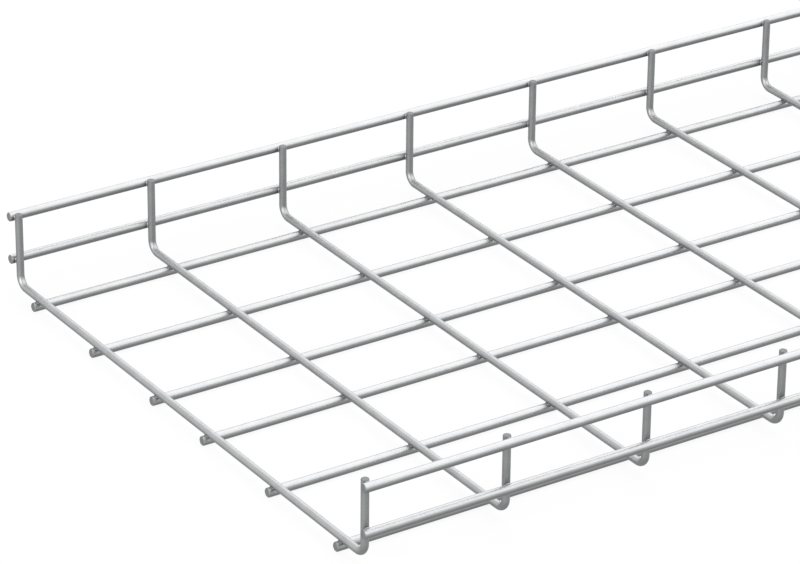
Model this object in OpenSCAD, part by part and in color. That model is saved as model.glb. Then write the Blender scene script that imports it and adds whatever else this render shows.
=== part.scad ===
// Welded wire mesh cable basket, 3 m stock length.
// Bent cross wires form a floor with two low walls. Straight line wires are
// welded to their outside: six under the floor and two on each wall.
// X runs along the basket, Y across it and Z up. The origin is the middle of
// the basket's footprint, on the level that it stands on.

/* [Basket] */
// Clear width between the walls, measured between the bent cross wires
inner_width = 403; // [400:1:600]
// Height from the ground to the tips of the cross wires
side_height = 58; // [50:0.1:120]

/* [Mesh] */
// Distance between neighbouring cross wires
mesh_pitch = 100; // [50:5:150]
// Distance from the first and last cross wire to their neighbours
end_bay = 97; // [40:1:150]
// Length of line wire that stands past the axis of the first and last cross wire
end_overhang = 4.5; // [3:0.1:30]
// Distance between the two middle line wires of the floor
centre_gap = 60; // [20:1:75]
// Distance from each other floor line wire to the next
floor_gap = 75; // [20:1:75]
// Distance between the two line wires of a wall
wall_gap = 30; // [12:0.5:34]

/* [Wire] */
// Diameter of the straight line wires
line_d = 6.0; // [4:0.1:6]
// Diameter of the bent cross wires
cross_d = 5.0; // [3:0.1:5]
// Depth that the weld sinks a cross wire into a line wire
weld_sink = 0.4; // [0.2:0.1:1]
// Radius of the two bends, measured to the axis of the cross wire
bend_radius = 7.5; // [5:0.5:12]
// Chamfer left on every cut wire end
end_chamfer = 0.4; // [0.1:0.1:0.8]

/* [Hidden] */
cross_wires = 31;
floor_wires = 6;
wire_grey = [0.72, 0.74, 0.75];
cross_grey = [0.66, 0.68, 0.69];
$fn = 48;

middle_cross = (cross_wires - 1) / 2;          // index of the cross wire at X = 0
end_cross_x = (middle_cross - 1) * mesh_pitch + end_bay;
tray_length = 2 * (end_cross_x + end_overhang);
line_r = line_d / 2;
cross_r = cross_d / 2;
weld_step = line_r + cross_r - weld_sink;      // axis to axis at a weld
floor_z = line_r + weld_step;                  // axis of the cross wires' floor run
wall_y = inner_width / 2 + cross_r;            // axis of their upright legs
wall_wire_y = wall_y + weld_step;              // axis of the wall line wires
top_wire_z = side_height - line_r;
mid_wire_z = top_wire_z - wall_gap;
run_half = wall_y - bend_radius;               // half of the straight floor run
leg_foot_z = floor_z + bend_radius;

side = ["left", "right"];
level = ["lower", "upper"];

function two(n) = str(n < 10 ? "0" : "", n);
function floor_name(i) = str("floor_line_wire_", i + 1);
function wall_name(s, l) = str(side[s], "_", level[l], "_line_wire");
function cross_name(i) = str("cross_wire_", two(i + 1));

// Place of floor line wire i across the basket, from the left wall to the right
function floor_wire_y(i) =
    let (k = i < floor_wires / 2 ? floor_wires / 2 - 1 - i : i - floor_wires / 2)
    (i < floor_wires / 2 ? 1 : -1) * (centre_gap / 2 + k * floor_gap);
// The left wall is at +Y
function wall_sign(s) = s == 0 ? 1 : -1;
function wall_wire_z(l) = l == 0 ? mid_wire_z : top_wire_z;
// Place of cross wire i along the basket: on the pitch, but for the two end ones
function cross_x(i) =
    i == 0 ? -end_cross_x
    : i == cross_wires - 1 ? end_cross_x
    : (i - middle_cross) * mesh_pitch;

// A straight length of wire along Z from 0 to len, chamfered at the far end
// and, if both is set, at the near end too
module rod(d, len, both = false) {
    c = end_chamfer;
    r = d / 2;
    rotate_extrude()
        polygon(concat(
            both ? [[0, 0], [r - c, 0], [r, c]] : [[0, 0], [r, 0]],
            [[r, len - c], [r - c, len], [0, len]]));
}

// One straight line wire along the whole basket, at y, z
module line_wire(y, z) {
    color(wire_grey)
        translate([-tray_length / 2, y, z])
            rotate([0, 90, 0])
                rod(line_d, tray_length, both = true);
}

// The metal that a line wire at y, z takes out of one cross wire
module weld_seat(y, z) {
    translate([-cross_d, y, z])
        rotate([0, 90, 0])
            cylinder(d = line_d, h = 2 * cross_d);
}

// Half of a cross wire from the middle of the floor to its tip, on the +Y side
module cross_half() {
    translate([0, run_half, floor_z])
        rotate([90, 0, 0])
            cylinder(d = cross_d, h = run_half);
    translate([0, run_half, leg_foot_z])
        rotate([90, 0, 90])
            rotate_extrude(angle = 90, start = -90)
                translate([bend_radius, 0])
                    circle(d = cross_d);
    translate([0, wall_y, leg_foot_z])
        rod(cross_d, side_height - leg_foot_z);
}

// One bent cross wire, with a seat at each of its ten welds
module cross_wire(i) {
    color(cross_grey)
        translate([cross_x(i), 0, 0])
            difference() {
                union() {
                    cross_half();
                    mirror([0, 1, 0]) cross_half();
                }
                for (k = [0:floor_wires - 1]) weld_seat(floor_wire_y(k), line_r);
                for (s = [0, 1], l = [0, 1])
                    weld_seat(wall_sign(s) * wall_wire_y, wall_wire_z(l));
            }
}

for (i = [0:floor_wires - 1])
    line_wire(floor_wire_y(i), line_r);
for (s = [0, 1], l = [0, 1])
    line_wire(wall_sign(s) * wall_wire_y, wall_wire_z(l));
for (i = [0:cross_wires - 1])
    cross_wire(i);
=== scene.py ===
"""Looks of a welded wire mesh cable basket: bent cross wires with line wires welded on.

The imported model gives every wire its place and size. This script sweeps each
wire again with round, smooth sides, cut ends and weld collars, dresses it in
zinc, and sets a plain studio around it.
"""

import logging
import math
from dataclasses import dataclass, field
from enum import Enum

import bpy
from mathutils import Matrix, Vector


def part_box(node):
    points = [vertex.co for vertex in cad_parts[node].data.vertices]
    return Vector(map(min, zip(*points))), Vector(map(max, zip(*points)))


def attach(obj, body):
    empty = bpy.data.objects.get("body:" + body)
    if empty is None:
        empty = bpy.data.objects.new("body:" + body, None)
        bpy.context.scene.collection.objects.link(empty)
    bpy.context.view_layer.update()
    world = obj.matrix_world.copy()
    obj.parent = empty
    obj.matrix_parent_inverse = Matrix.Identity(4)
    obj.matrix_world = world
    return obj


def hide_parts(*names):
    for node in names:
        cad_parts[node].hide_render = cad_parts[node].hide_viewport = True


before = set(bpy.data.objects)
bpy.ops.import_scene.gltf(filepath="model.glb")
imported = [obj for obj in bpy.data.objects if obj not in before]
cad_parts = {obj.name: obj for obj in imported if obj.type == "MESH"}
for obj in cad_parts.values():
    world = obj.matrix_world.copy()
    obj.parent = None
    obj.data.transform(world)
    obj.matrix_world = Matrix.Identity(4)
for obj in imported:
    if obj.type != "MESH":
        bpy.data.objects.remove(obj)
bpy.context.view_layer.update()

BODY = "root"
MM = 0.001
WHITE = (1.0, 1.0, 1.0, 1.0)

# Edges that turn by more than this stay crisp, and the round sides are smooth.
CRISP_ANGLE = math.radians(38)
# The small bevel at every wire end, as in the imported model.
CHAMFER = 0.4 * MM

log = logging.getLogger("basket")


class Slot(Enum):
    """The record's material slots."""

    LINE = "line_wire_zinc"
    CROSS = "cross_wire_zinc"


class Along(Enum):
    """The axis that a wire family's long straight runs follow."""

    BASKET = "X"
    ACROSS = "Y"


# --------------------------------------------------------------------------
# Node tree helpers
# --------------------------------------------------------------------------


class TreeWriter:
    """Adds and links the nodes of one node tree."""

    def __init__(self, tree: bpy.types.NodeTree) -> None:
        """Starts writing a tree.

        Args:
            tree: The node tree to fill.
        """
        self.tree = tree

    def add(self, kind: str, **settings: object) -> bpy.types.Node:
        """Adds one node.

        Args:
            kind: The node's type name.
            settings: Properties to set on the node.

        Returns:
            The new node.
        """
        node = self.tree.nodes.new(kind)
        for name, value in settings.items():
            setattr(node, name, value)
        return node

    def join(
        self,
        source: bpy.types.NodeSocket,
        target: bpy.types.NodeSocket,
    ) -> None:
        """Links an output to an input.

        Args:
            source: The output socket.
            target: The input socket.
        """
        self.tree.links.new(source, target)

    def feed(self, target: bpy.types.NodeSocket, value: object) -> None:
        """Gives an input a link or a plain value.

        Args:
            target: The input socket.
            value: An output socket to link, or a value to set.
        """
        if isinstance(value, bpy.types.NodeSocket):
            self.join(value, target)
        else:
            target.default_value = value

    def math(
        self, operation: str, *values: object, clamp: bool = False
    ) -> bpy.types.NodeSocket:
        """Adds a Math node.

        Args:
            operation: The Math node's operation.
            values: A socket or a number for each input, in order.
            clamp: Whether the result is held between 0 and 1.

        Returns:
            The result socket.
        """
        node = self.add("ShaderNodeMath", operation=operation, use_clamp=clamp)
        for socket, value in zip(node.inputs, values):
            self.feed(socket, value)
        return node.outputs[0]

    def vector(self, x: object, y: object, z: object) -> bpy.types.NodeSocket:
        """Adds a Combine XYZ node.

        Args:
            x: A socket or a number.
            y: A socket or a number.
            z: A socket or a number.

        Returns:
            The vector socket.
        """
        node = self.add("ShaderNodeCombineXYZ")
        for socket, value in zip(node.inputs, (x, y, z)):
            self.feed(socket, value)
        return node.outputs[0]

    def pick(self, choices: list[bpy.types.NodeSocket]) -> bpy.types.NodeSocket:
        """Adds an Index Switch that gives element i the vector choices[i].

        Args:
            choices: One vector socket for each element.

        Returns:
            The chosen vector's socket.
        """
        switch = self.add("GeometryNodeIndexSwitch", data_type="VECTOR")
        while len(switch.index_switch_items) < len(choices):
            switch.index_switch_items.new()
        self.join(self.add("GeometryNodeInputIndex").outputs[0], switch.inputs[0])
        for i, choice in enumerate(choices):
            self.join(choice, switch.inputs[i + 1])
        return switch.outputs[0]


def new_geometry_tree(
    name: str, sockets: list[tuple[str, str]]
) -> tuple[bpy.types.NodeTree, TreeWriter, dict[str, bpy.types.NodeSocket], bpy.types.Node]:
    """Makes an empty Geometry Nodes tree with named inputs.

    Args:
        name: The tree's name.
        sockets: Name and socket type of each input.

    Returns:
        The tree, its writer, its inputs by name and its Group Output node.
    """
    tree = bpy.data.node_groups.new(name, "GeometryNodeTree")
    face = tree.interface
    face.new_socket("Geometry", in_out="OUTPUT", socket_type="NodeSocketGeometry")
    for label, kind in sockets:
        face.new_socket(label, in_out="INPUT", socket_type=kind)
    writer = TreeWriter(tree)
    entry = writer.add("NodeGroupInput")
    out = writer.add("NodeGroupOutput")
    inputs = {s.name: s for s in entry.outputs if s.name}
    return tree, writer, inputs, out


def run_tree(
    name: str, tree: bpy.types.NodeTree, values: dict[str, object]
) -> bpy.types.Object:
    """Runs a Geometry Nodes tree and keeps its result as a plain mesh object.

    Args:
        name: The finished piece's name.
        tree: The tree to run.
        values: A value for each named input.

    Returns:
        A mesh object at the origin with no modifier.
    """
    holder = bpy.data.objects.new(name, bpy.data.meshes.new(name + "_path"))
    bpy.context.scene.collection.objects.link(holder)
    modifier = holder.modifiers.new("build", "NODES")
    modifier.node_group = tree
    by_name = {
        s.name: s.identifier
        for s in tree.interface.items_tree
        if s.item_type == "SOCKET" and s.in_out == "INPUT"
    }
    for label, value in values.items():
        modifier[by_name[label]] = value
    bpy.context.view_layer.update()
    graph = bpy.context.evaluated_depsgraph_get()
    mesh = bpy.data.meshes.new_from_object(holder.evaluated_get(graph))
    holder.modifiers.remove(modifier)
    old = holder.data
    holder.data = mesh
    bpy.data.meshes.remove(old)
    mesh.name = name
    mesh.set_sharp_from_angle(angle=CRISP_ANGLE)
    return holder


# --------------------------------------------------------------------------
# Finishes
# --------------------------------------------------------------------------


class ZincEffects:
    """The shader node groups that all the wire finishes share."""

    def __init__(self) -> None:
        """Builds each group once."""
        # Painted shade that darkens each wire's underside.
        self.tone = self._painted_shade()
        self.grain = self._grain()

    @staticmethod
    def _new(
        name: str,
        inputs: list[tuple[str, str, object]],
        outputs: list[tuple[str, str]],
    ) -> tuple[bpy.types.NodeTree, TreeWriter, dict, bpy.types.Node]:
        """Makes an empty shader node group.

        Args:
            name: The group's name.
            inputs: Name, socket type and default of each input. The default is
                None where every finish sets the input itself.
            outputs: Name and socket type of each output.

        Returns:
            The tree, its writer, its inputs by name and its output node.
        """
        tree = bpy.data.node_groups.new(name, "ShaderNodeTree")
        for label, kind, value in inputs:
            socket = tree.interface.new_socket(label, in_out="INPUT", socket_type=kind)
            if value is not None:
                socket.default_value = value
        for label, kind in outputs:
            tree.interface.new_socket(label, in_out="OUTPUT", socket_type=kind)
        writer = TreeWriter(tree)
        entry = writer.add("NodeGroupInput")
        out = writer.add("NodeGroupOutput")
        return tree, writer, {s.name: s for s in entry.outputs if s.name}, out

    def _painted_shade(self) -> bpy.types.NodeTree:
        """Builds the group that paints shade on the zinc, darker towards a wire's underside
        by the height of its normal.

        Returns:
            The group, whose output is the painted shade, from its Low input to 1.
        """
        tree, w, ins, out = self._new(
            "Painted underside shade",
            [
                ("Low", "NodeSocketFloat", None),
                ("From", "NodeSocketFloat", None),
                ("To", "NodeSocketFloat", None),
            ],
            [("Painted Shade", "NodeSocketFloat")],
        )
        coords = w.add("ShaderNodeTexCoord")
        split = w.add("ShaderNodeSeparateXYZ")
        w.join(coords.outputs["Normal"], split.inputs[0])
        rise = w.add("ShaderNodeMapRange", interpolation_type="SMOOTHSTEP")
        w.join(split.outputs["Z"], rise.inputs["Value"])
        w.join(ins["From"], rise.inputs["From Min"])
        w.join(ins["To"], rise.inputs["From Max"])
        w.join(ins["Low"], rise.inputs["To Min"])
        rise.inputs["To Max"].default_value = 1.0
        w.join(rise.outputs[0], out.inputs["Painted Shade"])
        return tree

    def _grain(self) -> bpy.types.NodeTree:
        """Builds the group for zinc mottling and the faint lines of drawn wire.

        Returns:
            The group, with Mottle and Lines outputs from 0 to 1.
        """
        tree, w, ins, out = self._new(
            "Drawn zinc grain",
            [
                ("Stretch", "NodeSocketVector", (1.0, 1.0, 1.0)),
                ("Mottle Scale", "NodeSocketFloat", 90.0),
                ("Line Scale", "NodeSocketFloat", 900.0),
            ],
            [("Mottle", "NodeSocketFloat"), ("Lines", "NodeSocketFloat")],
        )
        coords = w.add("ShaderNodeTexCoord")
        blotch = w.add("ShaderNodeTexNoise")
        blotch.inputs["Detail"].default_value = 4.0
        w.join(coords.outputs["Object"], blotch.inputs["Vector"])
        w.join(ins["Mottle Scale"], blotch.inputs["Scale"])
        stretch = w.add("ShaderNodeVectorMath", operation="MULTIPLY")
        w.join(coords.outputs["Object"], stretch.inputs[0])
        w.join(ins["Stretch"], stretch.inputs[1])
        lines = w.add("ShaderNodeTexNoise")
        lines.inputs["Detail"].default_value = 2.0
        w.join(stretch.outputs[0], lines.inputs["Vector"])
        w.join(ins["Line Scale"], lines.inputs["Scale"])
        w.join(blotch.outputs["Fac"], out.inputs["Mottle"])
        w.join(lines.outputs["Fac"], out.inputs["Lines"])
        return tree


@dataclass(frozen=True)
class ZincFinish:
    """Bright zinc on drawn steel wire.

    The tone falls as painted shade to its low share where the surface faces down past
    painted_shade_from, and is full where it faces up past painted_shade_to.
    """

    name: str
    tone: tuple[float, float, float]
    along: Along
    roughness: float = 0.42
    roughness_spread: float = 0.03
    # The share of the tone that the painted shade leaves on the underside, and where it
    # starts and ends.
    low: float = 0.40
    painted_shade_from: float = -0.30
    painted_shade_to: float = 0.70
    mottle_strength: float = 0.06
    line_strength: float = 0.15
    line_depth: float = 0.02 * MM

    @staticmethod
    def _vary(
        w: TreeWriter, mottle: bpy.types.NodeSocket, middle: float, spread: float
    ) -> bpy.types.NodeSocket:
        """Adds a value that the zinc's mottling moves up and down.

        Args:
            w: The material's writer.
            mottle: The mottling's socket.
            middle: The value in the middle.
            spread: How far it goes to either side.

        Returns:
            The varied value's socket.
        """
        usual_low, usual_high = 0.3, 0.7
        node = w.add("ShaderNodeMapRange")
        w.join(mottle, node.inputs["Value"])
        node.inputs["From Min"].default_value = usual_low
        node.inputs["From Max"].default_value = usual_high
        node.inputs["To Min"].default_value = middle - spread
        node.inputs["To Max"].default_value = middle + spread
        return node.outputs[0]

    def build(self, effects: ZincEffects) -> bpy.types.Material:
        """Makes the material.

        Args:
            effects: The shared shader node groups.

        Returns:
            The finished material.
        """
        material = bpy.data.materials.new(self.name)
        material.use_nodes = True
        tree = material.node_tree
        tree.nodes.clear()
        w = TreeWriter(tree)
        out = w.add("ShaderNodeOutputMaterial")
        shader = w.add("ShaderNodeBsdfPrincipled")
        w.join(shader.outputs[0], out.inputs["Surface"])
        shader.inputs["Metallic"].default_value = 1.0

        # Painted shade: the group darkens the zinc towards the wire's underside.
        tone = w.add("ShaderNodeGroup", node_tree=effects.tone)
        tone.inputs["Low"].default_value = self.low
        tone.inputs["From"].default_value = self.painted_shade_from
        tone.inputs["To"].default_value = self.painted_shade_to
        grain = w.add("ShaderNodeGroup", node_tree=effects.grain)
        # The noise is drawn out along the wire, which makes the lines.
        slow, fast = 0.02, 1.0
        grain.inputs["Stretch"].default_value = (
            (slow, fast, fast) if self.along is Along.BASKET else (fast, slow, fast)
        )
        mottle = grain.outputs["Mottle"]
        patchy = self._vary(w, mottle, 1.0, self.mottle_strength)
        shade = w.math("MULTIPLY", tone.outputs["Painted Shade"], patchy)
        colour = w.add("ShaderNodeVectorMath", operation="SCALE")
        colour.inputs[0].default_value = self.tone
        w.join(shade, colour.inputs["Scale"])
        w.join(colour.outputs[0], shader.inputs["Base Color"])

        rough = self._vary(w, mottle, self.roughness, self.roughness_spread)
        w.join(rough, shader.inputs["Roughness"])

        bump = w.add("ShaderNodeBump")
        bump.inputs["Strength"].default_value = self.line_strength
        bump.inputs["Distance"].default_value = self.line_depth
        w.join(grain.outputs["Lines"], bump.inputs["Height"])
        w.join(bump.outputs[0], shader.inputs["Normal"])
        return material


@dataclass(frozen=True)
class CutSteelFinish:
    """The matt grey of a sheared wire end, its tone set dark also as painted shade on the
    end faces and chamfers.
    """

    name: str
    tone: tuple[float, float, float]
    roughness: float = 0.6
    streak: tuple[float, float, float] = (1.0, 1.0, 0.1)
    streak_strength: float = 0.2

    def build(self, effects: ZincEffects) -> bpy.types.Material:
        """Makes the material.

        Args:
            effects: The shared shader node groups.

        Returns:
            The finished material.
        """
        material = bpy.data.materials.new(self.name)
        material.use_nodes = True
        w = TreeWriter(material.node_tree)
        shader = material.node_tree.nodes["Principled BSDF"]
        shader.inputs["Metallic"].default_value = 1.0
        grain = w.add("ShaderNodeGroup", node_tree=effects.grain)
        grain.inputs["Stretch"].default_value = self.streak
        shade = w.add("ShaderNodeMapRange")
        w.join(grain.outputs["Lines"], shade.inputs["Value"])
        shade.inputs["To Min"].default_value = 1.0 - self.streak_strength
        shade.inputs["To Max"].default_value = 1.0 + self.streak_strength
        colour = w.add("ShaderNodeVectorMath", operation="SCALE")
        colour.inputs[0].default_value = self.tone
        w.join(shade.outputs[0], colour.inputs["Scale"])
        w.join(colour.outputs[0], shader.inputs["Base Color"])
        shader.inputs["Roughness"].default_value = self.roughness
        return material


class Finishes:
    """Every material on the basket."""

    def __init__(self) -> None:
        """Builds the shared effects and then each finish."""
        effects = ZincEffects()
        # Each zinc finish paints shade on its wire's underside; low is the share of tone
        # left there.
        self.line = ZincFinish(
            "zinc_line_wire", (0.455, 0.461, 0.466), Along.BASKET
        ).build(effects)
        self.cross = ZincFinish(
            "zinc_cross_wire",
            (0.432, 0.438, 0.443),
            Along.ACROSS,
            roughness=0.48,
            low=0.50,
            painted_shade_to=0.90,
        ).build(effects)
        self.weld = ZincFinish(
            "zinc_over_weld", (0.42, 0.42, 0.433), Along.ACROSS, roughness=0.46, low=0.65
        ).build(effects)
        # The cut ends' dark tone is partly bare sheared steel and partly painted shade.
        self.cut = CutSteelFinish("cut_wire_end", (0.21, 0.216, 0.221)).build(effects)


# --------------------------------------------------------------------------
# Geometry trees
# --------------------------------------------------------------------------


class WireTrees:
    """The Geometry Nodes trees that make the wires."""

    FINISH_SOCKETS = [
        ("Wire Radius", "NodeSocketFloat"),
        ("Chamfer", "NodeSocketFloat"),
        ("Sides", "NodeSocketInt"),
        ("Wire Finish", "NodeSocketMaterial"),
        ("Cut Finish", "NodeSocketMaterial"),
    ]

    # Faces that lie at least this far towards a wire's end take the cut finish.
    END_SHARE = 0.25
    COLLAR_SEGMENTS = 8
    COLLAR_RINGS = 5

    def __init__(self) -> None:
        """Builds each tree once."""
        self.sweep = self._sweep()
        self.straight = self._straight()
        self.bent = self._bent()

    def _sweep(self) -> bpy.types.NodeTree:
        """Builds the group that turns a path into a wire with chamfered ends.

        Returns:
            The group. Its path ends in a short segment as long as the chamfer.
        """
        tree, w, ins, out = new_geometry_tree(
            "Swept wire",
            [("Path", "NodeSocketGeometry")] + self.FINISH_SOCKETS,
        )
        inner = w.math("SUBTRACT", ins["Wire Radius"], ins["Chamfer"])
        ratio = w.math("DIVIDE", inner, ins["Wire Radius"])
        ends = w.add("GeometryNodeCurveEndpointSelection")
        girth = w.add("GeometryNodeSwitch", input_type="FLOAT")
        w.join(ends.outputs[0], girth.inputs["Switch"])
        girth.inputs["False"].default_value = 1.0
        w.join(ratio, girth.inputs["True"])
        ring = w.add("GeometryNodeCurvePrimitiveCircle", mode="RADIUS")
        w.join(ins["Sides"], ring.inputs["Resolution"])
        w.join(ins["Wire Radius"], ring.inputs["Radius"])
        mark = w.add("GeometryNodeCaptureAttribute")
        mark.capture_items.new("FLOAT", "At End")
        w.join(ins["Path"], mark.inputs["Geometry"])
        w.join(ends.outputs[0], mark.inputs["At End"])
        tube = w.add("GeometryNodeCurveToMesh")
        w.join(mark.outputs["Geometry"], tube.inputs["Curve"])
        w.join(ring.outputs[0], tube.inputs["Profile Curve"])
        w.join(girth.outputs[0], tube.inputs["Scale"])
        tube.inputs["Fill Caps"].default_value = True
        smooth = w.add("GeometryNodeSetShadeSmooth")
        w.join(tube.outputs[0], smooth.inputs["Geometry"])
        dress = w.add("GeometryNodeSetMaterial")
        w.join(smooth.outputs[0], dress.inputs["Geometry"])
        w.join(ins["Wire Finish"], dress.inputs["Material"])
        is_cut = w.math("GREATER_THAN", mark.outputs["At End"], self.END_SHARE)
        cap = w.add("GeometryNodeSetMaterial")
        w.join(dress.outputs[0], cap.inputs["Geometry"])
        w.join(is_cut, cap.inputs["Selection"])
        w.join(ins["Cut Finish"], cap.inputs["Material"])
        w.join(cap.outputs[0], out.inputs["Geometry"])
        return tree

    def _call_sweep(
        self, w: TreeWriter, ins: dict, path: bpy.types.NodeSocket
    ) -> bpy.types.NodeSocket:
        """Adds the sweep group to a tree.

        Args:
            w: The tree's writer.
            ins: The tree's inputs by name.
            path: The path's socket.

        Returns:
            The wire's geometry socket.
        """
        group = w.add("GeometryNodeGroup", node_tree=self.sweep)
        w.join(path, group.inputs["Path"])
        for label, _ in self.FINISH_SOCKETS:
            w.join(ins[label], group.inputs[label])
        return group.outputs[0]

    @staticmethod
    def _polyline(
        w: TreeWriter, points: list[bpy.types.NodeSocket]
    ) -> bpy.types.NodeSocket:
        """Adds a poly curve through the given points.

        Args:
            w: The tree's writer.
            points: Vector sockets in order.

        Returns:
            The curve's socket.
        """
        line = w.add("GeometryNodeCurvePrimitiveLine")
        split = w.add("GeometryNodeResampleCurve", mode="COUNT")
        w.join(line.outputs[0], split.inputs["Curve"])
        split.inputs["Count"].default_value = len(points)
        place = w.add("GeometryNodeSetPosition")
        w.join(split.outputs[0], place.inputs["Geometry"])
        w.join(w.pick(points), place.inputs["Position"])
        return place.outputs[0]

    def _straight(self) -> bpy.types.NodeTree:
        """Builds the tree of one straight line wire.

        Returns:
            The tree.
        """
        tree, w, ins, out = new_geometry_tree(
            "Straight line wire",
            [
                ("Start X", "NodeSocketFloat"),
                ("End X", "NodeSocketFloat"),
                ("Y", "NodeSocketFloat"),
                ("Z", "NodeSocketFloat"),
            ]
            + self.FINISH_SOCKETS,
        )
        inner_start = w.math("ADD", ins["Start X"], ins["Chamfer"])
        inner_end = w.math("SUBTRACT", ins["End X"], ins["Chamfer"])
        stops = [ins["Start X"], inner_start, inner_end, ins["End X"]]
        path = self._polyline(w, [w.vector(x, ins["Y"], ins["Z"]) for x in stops])
        solid = w.add("GeometryNodeRealizeInstances")
        w.join(self._call_sweep(w, ins, path), solid.inputs[0])
        w.join(solid.outputs[0], out.inputs["Geometry"])
        return tree

    def _bent(self) -> bpy.types.NodeTree:
        """Builds the tree of one bent cross wire with its weld collars.

        Returns:
            The tree.
        """
        tree, w, ins, out = new_geometry_tree(
            "Bent cross wire",
            [
                ("Station X", "NodeSocketFloat"),
                ("Leg Y", "NodeSocketFloat"),
                ("Floor Z", "NodeSocketFloat"),
                ("Tip Z", "NodeSocketFloat"),
                ("Bend Radius", "NodeSocketFloat"),
                ("Bend Rings", "NodeSocketInt"),
                ("Weld Y 1", "NodeSocketFloat"),
                ("Weld Y 2", "NodeSocketFloat"),
                ("Weld Y 3", "NodeSocketFloat"),
                ("Weld Level", "NodeSocketFloat"),
                ("Weld Z 1", "NodeSocketFloat"),
                ("Weld Z 2", "NodeSocketFloat"),
                ("Weld Side", "NodeSocketFloat"),
                ("Collar Radius", "NodeSocketFloat"),
                ("Collar Thickness", "NodeSocketFloat"),
                ("Weld Finish", "NodeSocketMaterial"),
            ]
            + self.FINISH_SOCKETS,
        )
        x = ins["Station X"]
        leg, tip, floor = ins["Leg Y"], ins["Tip Z"], ins["Floor Z"]
        other_leg = w.math("MULTIPLY", leg, -1.0)
        below_tip = w.math("SUBTRACT", tip, ins["Chamfer"])
        path = self._polyline(
            w,
            [
                w.vector(x, other_leg, tip),
                w.vector(x, other_leg, below_tip),
                w.vector(x, other_leg, floor),
                w.vector(x, leg, floor),
                w.vector(x, leg, below_tip),
                w.vector(x, leg, tip),
            ],
        )
        # Of the path's six points, 0 to 5, the two corners are 2 and 3.
        middle, reach, slack = 2.5, 0.5, 0.1
        index = w.add("GeometryNodeInputIndex").outputs[0]
        from_middle = w.math("ABSOLUTE", w.math("SUBTRACT", index, middle))
        is_corner = w.math("COMPARE", from_middle, reach, slack)
        bend = w.add("GeometryNodeFilletCurve", mode="POLY")
        w.join(path, bend.inputs["Curve"])
        w.join(ins["Bend Rings"], bend.inputs["Count"])
        w.join(w.math("MULTIPLY", is_corner, ins["Bend Radius"]), bend.inputs["Radius"])
        wire = self._call_sweep(w, ins, bend.outputs[0])

        level, side = ins["Weld Level"], ins["Weld Side"]
        floor_ys = [ins["Weld Y 1"], ins["Weld Y 2"], ins["Weld Y 3"]]
        other_ys = [w.math("MULTIPLY", y, -1.0) for y in floor_ys]
        other_side = w.math("MULTIPLY", side, -1.0)
        ball = w.add("GeometryNodeMeshUVSphere")
        ball.inputs["Segments"].default_value = self.COLLAR_SEGMENTS
        ball.inputs["Rings"].default_value = self.COLLAR_RINGS
        ball.inputs["Radius"].default_value = 1.0
        thick, wide = ins["Collar Thickness"], ins["Collar Radius"]
        groups = [
            (
                [w.vector(x, y, level) for y in floor_ys + other_ys],
                w.vector(wide, wide, thick),
            ),
            (
                [
                    w.vector(x, y, z)
                    for y in (side, other_side)
                    for z in (ins["Weld Z 1"], ins["Weld Z 2"])
                ],
                w.vector(wide, thick, wide),
            ),
        ]
        gather = w.add("GeometryNodeJoinGeometry")
        for places, scale in groups:
            dots = w.add("GeometryNodePoints")
            dots.inputs["Count"].default_value = len(places)
            w.join(w.pick(places), dots.inputs["Position"])
            collars = w.add("GeometryNodeInstanceOnPoints")
            w.join(dots.outputs[0], collars.inputs["Points"])
            w.join(ball.outputs[0], collars.inputs["Instance"])
            w.join(scale, collars.inputs["Scale"])
            w.join(collars.outputs[0], gather.inputs[0])
        real = w.add("GeometryNodeRealizeInstances")
        w.join(gather.outputs[0], real.inputs[0])
        smooth = w.add("GeometryNodeSetShadeSmooth")
        w.join(real.outputs[0], smooth.inputs["Geometry"])
        dress = w.add("GeometryNodeSetMaterial")
        w.join(smooth.outputs[0], dress.inputs["Geometry"])
        w.join(ins["Weld Finish"], dress.inputs["Material"])
        whole = w.add("GeometryNodeJoinGeometry")
        w.join(dress.outputs[0], whole.inputs[0])
        w.join(wire, whole.inputs[0])
        w.join(whole.outputs[0], out.inputs["Geometry"])
        return tree


# --------------------------------------------------------------------------
# Sub-assemblies
# --------------------------------------------------------------------------


def report(piece: bpy.types.Object) -> None:
    """Logs a finished piece's number of faces.

    Args:
        piece: The finished piece.
    """
    log.info("%s: %d faces", piece.name, len(piece.data.polygons))


@dataclass
class LineWires:
    """The straight wires under the floor and along the walls."""

    trees: WireTrees
    finishes: Finishes
    chamfer: float = CHAMFER
    sides: int = 32
    nodes: list[str] = field(init=False)

    def __post_init__(self) -> None:
        """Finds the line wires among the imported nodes."""
        self.nodes = sorted(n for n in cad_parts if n.endswith("_line_wire"))
        self.nodes += sorted(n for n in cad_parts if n.startswith("floor_line"))

    def axis(self, node: str) -> tuple[float, float, float]:
        """Gives a line wire's axis and radius.

        Args:
            node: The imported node's name.

        Returns:
            Its y, its z and its radius.
        """
        low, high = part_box(node)
        return (low[1] + high[1]) / 2, (low[2] + high[2]) / 2, (high[2] - low[2]) / 2

    def build(self) -> None:
        """Makes, dresses and places every line wire."""
        for node in self.nodes:
            low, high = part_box(node)
            y, z, radius = self.axis(node)
            piece = run_tree(
                "wire_" + node,
                self.trees.straight,
                {
                    "Start X": low[0],
                    "End X": high[0],
                    "Y": y,
                    "Z": z,
                    "Wire Radius": radius,
                    "Chamfer": self.chamfer,
                    "Sides": self.sides,
                    "Wire Finish": self.finishes.line,
                    "Cut Finish": self.finishes.cut,
                },
            )
            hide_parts(node)
            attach(piece, BODY)
            report(piece)


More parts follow.
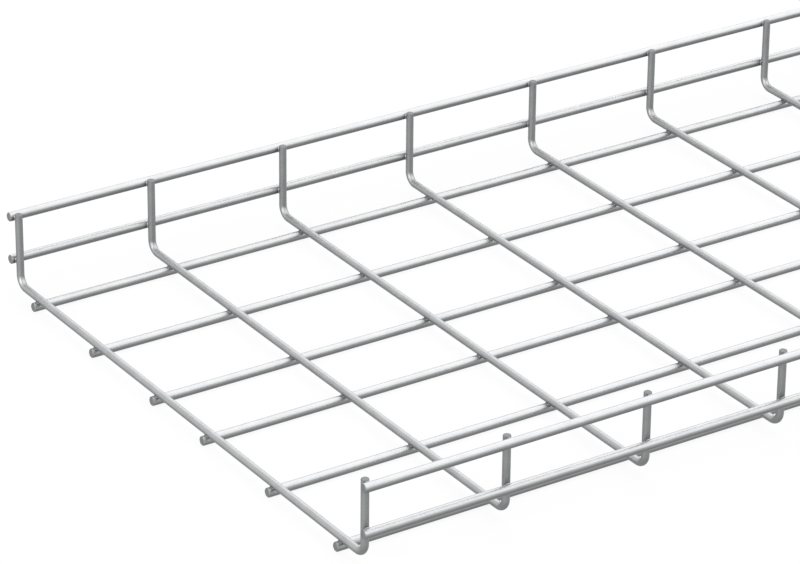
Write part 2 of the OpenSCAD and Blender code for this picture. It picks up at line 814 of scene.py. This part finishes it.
@dataclass
class CrossWires:
    """The bent wires that make the floor and both walls."""

    trees: WireTrees
    finishes: Finishes
    lines: LineWires
    bend_radius: float = 7.5 * MM
    bend_rings: int = 12
    chamfer: float = CHAMFER
    sides: int = 28
    collar_radius: float = 2.5 * MM
    collar_thickness: float = 0.9 * MM

    def build(self) -> None:
        """Makes, dresses and places every cross wire."""
        # The floor wires stand in mirrored pairs, so every second distance counts.
        floor = sorted(
            abs(self.lines.axis(n)[0]) for n in self.lines.nodes if "floor" in n
        )[::2]
        walls = [n for n in self.lines.nodes if "left" in n]
        line_y, _, line_r = self.lines.axis(walls[0])
        wall_z = sorted(self.lines.axis(n)[1] for n in walls)
        floor_line_top = 2 * line_r
        for node in sorted(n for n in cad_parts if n.startswith("cross_wire")):
            low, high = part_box(node)
            radius = (high[0] - low[0]) / 2
            floor_z = low[2] + radius
            piece = run_tree(
                "bent_" + node,
                self.trees.bent,
                {
                    "Station X": (low[0] + high[0]) / 2,
                    "Leg Y": high[1] - radius,
                    "Floor Z": floor_z,
                    "Tip Z": high[2],
                    "Bend Radius": self.bend_radius,
                    "Bend Rings": self.bend_rings,
                    "Weld Y 1": floor[0],
                    "Weld Y 2": floor[1],
                    "Weld Y 3": floor[2],
                    "Weld Level": (floor_line_top + low[2]) / 2,
                    "Weld Z 1": wall_z[0],
                    "Weld Z 2": wall_z[1],
                    "Weld Side": (line_y - line_r + high[1]) / 2,
                    "Collar Radius": self.collar_radius,
                    "Collar Thickness": self.collar_thickness,
                    "Weld Finish": self.finishes.weld,
                    "Wire Radius": radius,
                    "Chamfer": self.chamfer,
                    "Sides": self.sides,
                    "Wire Finish": self.finishes.cross,
                    "Cut Finish": self.finishes.cut,
                },
            )
            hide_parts(node)
            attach(piece, BODY)
            report(piece)


# --------------------------------------------------------------------------
# Studio
# --------------------------------------------------------------------------


@dataclass(frozen=True)
class Lens:
    """Where the camera stands, in metres, and how it looks, in degrees."""

    place: tuple[float, float, float] = (-2.64584, -1.98697, 1.23468)
    azimuth: float = 33.2993
    elevation: float = 26.4002
    roll: float = 0.5507
    focal_mm: float = 193.314
    sensor_mm: float = 36.0
    reach: float = 200.0


@dataclass(frozen=True)
class SoftBox:
    """One large soft lamp, aimed at the middle of the basket."""

    name: str
    direction: tuple[float, float, float]
    distance: float
    width: float
    height: float
    power: float


class Studio:
    """The floor, the lamps, the world and the camera."""

    LENS = Lens()
    LAMPS = (
        SoftBox("overhead_softbox", (0.50, -0.05, 0.86), 12.0, 24.0, 24.0, 1960.0),
        SoftBox("back_softbox", (0.40, 0.75, 0.52), 10.0, 7.0, 5.0, 106.0),
        SoftBox("front_softbox", (0.50, -0.80, 0.33), 10.0, 8.0, 4.0, 62.0),
        SoftBox("left_softbox", (-0.92, -0.30, 0.24), 9.0, 11.0, 4.2, 588.0),
    )
    FLOOR_SIZE = 60.0
    FLOOR_TONE = 0.86
    BACKDROP_SHARE = 0.86
    BACKDROP_STRENGTH = 1.04
    WORLD_FILL = 0.25

    def build(self) -> None:
        """Sets the whole studio."""
        self._floor()
        self._world()
        for lamp in self.LAMPS:
            self._lamp(lamp)
        self._camera()
        bpy.context.scene.view_settings.view_transform = "Standard"

    @staticmethod
    def _seen_directly(w: TreeWriter) -> bpy.types.NodeSocket:
        """Adds a mask for rays that show the backdrop.

        Args:
            w: The writer of a world's or floor's tree.

        Returns:
            A socket that is 1 on camera, glossy and transmission rays.
        """
        path = w.add("ShaderNodeLightPath")
        some = w.math(
            "MAXIMUM", path.outputs["Is Camera Ray"], path.outputs["Is Glossy Ray"]
        )
        return w.math("MAXIMUM", some, path.outputs["Is Transmission Ray"])

    def _floor(self) -> None:
        """Lays the plain pale floor."""
        half = self.FLOOR_SIZE / 2
        mesh = bpy.data.meshes.new("studio_floor")
        corners = [(-half, -half, 0), (half, -half, 0), (half, half, 0), (-half, half, 0)]
        mesh.from_pydata(corners, [], [(0, 1, 2, 3)])
        floor = bpy.data.objects.new("studio_floor", mesh)
        bpy.context.scene.collection.objects.link(floor)
        material = bpy.data.materials.new("pale_floor")
        material.use_nodes = True
        material.node_tree.nodes.clear()
        w = TreeWriter(material.node_tree)
        out = w.add("ShaderNodeOutputMaterial")
        matt = w.add("ShaderNodeBsdfDiffuse")
        matt.inputs["Color"].default_value = (self.FLOOR_TONE,) * 3 + (1.0,)
        white = w.add("ShaderNodeEmission")
        white.inputs["Strength"].default_value = self.BACKDROP_STRENGTH
        share = w.math("MULTIPLY", self._seen_directly(w), self.BACKDROP_SHARE)
        mix = w.add("ShaderNodeMixShader")
        w.join(share, mix.inputs[0])
        w.join(matt.outputs[0], mix.inputs[1])
        w.join(white.outputs[0], mix.inputs[2])
        w.join(mix.outputs[0], out.inputs["Surface"])
        mesh.materials.append(material)

    def _world(self) -> None:
        """Makes the world white where it is seen and a soft fill elsewhere."""
        world = bpy.data.worlds.new("studio_world")
        bpy.context.scene.world = world
        world.use_nodes = True
        world.node_tree.nodes.clear()
        w = TreeWriter(world.node_tree)
        out = w.add("ShaderNodeOutputWorld")
        fill = w.add("ShaderNodeBackground")
        fill.inputs["Strength"].default_value = self.WORLD_FILL
        white = w.add("ShaderNodeBackground")
        for part in (fill, white):
            part.inputs["Color"].default_value = WHITE
        mix = w.add("ShaderNodeMixShader")
        w.join(self._seen_directly(w), mix.inputs[0])
        w.join(fill.outputs[0], mix.inputs[1])
        w.join(white.outputs[0], mix.inputs[2])
        w.join(mix.outputs[0], out.inputs["Surface"])

    @staticmethod
    def _lamp(box: SoftBox) -> None:
        """Hangs one lamp.

        Args:
            box: The lamp's sizes and place.
        """
        light = bpy.data.lights.new(box.name, "AREA")
        light.shape = "RECTANGLE"
        light.size = box.width
        light.size_y = box.height
        light.energy = box.power
        lamp = bpy.data.objects.new(box.name, light)
        bpy.context.scene.collection.objects.link(lamp)
        away = Vector(box.direction).normalized()
        lamp.location = away * box.distance
        lamp.rotation_euler = away.to_track_quat("Z", "Y").to_euler()

    def _camera(self) -> None:
        """Stands the camera."""
        lens = self.LENS
        data = bpy.data.cameras.new("camera")
        data.sensor_width = lens.sensor_mm
        data.lens = lens.focal_mm
        data.clip_end = lens.reach
        data.dof.use_dof = False
        azimuth, elevation = math.radians(lens.azimuth), math.radians(lens.elevation)
        ahead = Vector(
            (
                math.sin(azimuth) * math.cos(elevation),
                math.cos(azimuth) * math.cos(elevation),
                -math.sin(elevation),
            )
        )
        right = ahead.cross(Vector((0, 0, 1))).normalized()
        up = right.cross(ahead)
        turn = Matrix.Rotation(-math.radians(lens.roll), 3, ahead)
        right, up = turn @ right, turn @ up
        camera = bpy.data.objects.new("camera", data)
        bpy.context.scene.collection.objects.link(camera)
        frame_axes = Matrix((right, up, -ahead)).transposed().to_4x4()
        camera.matrix_world = Matrix.Translation(lens.place) @ frame_axes
        bpy.context.scene.camera = camera


def main() -> None:
    """Builds the studio and every piece in order."""
    logging.basicConfig(level=logging.INFO, format="%(name)s: %(message)s")
    Studio().build()
    finishes = Finishes()
    trees = WireTrees()
    lines = LineWires(trees, finishes)
    lines.build()
    CrossWires(trees, finishes, lines).build()


if __name__ == "__main__":
    main()
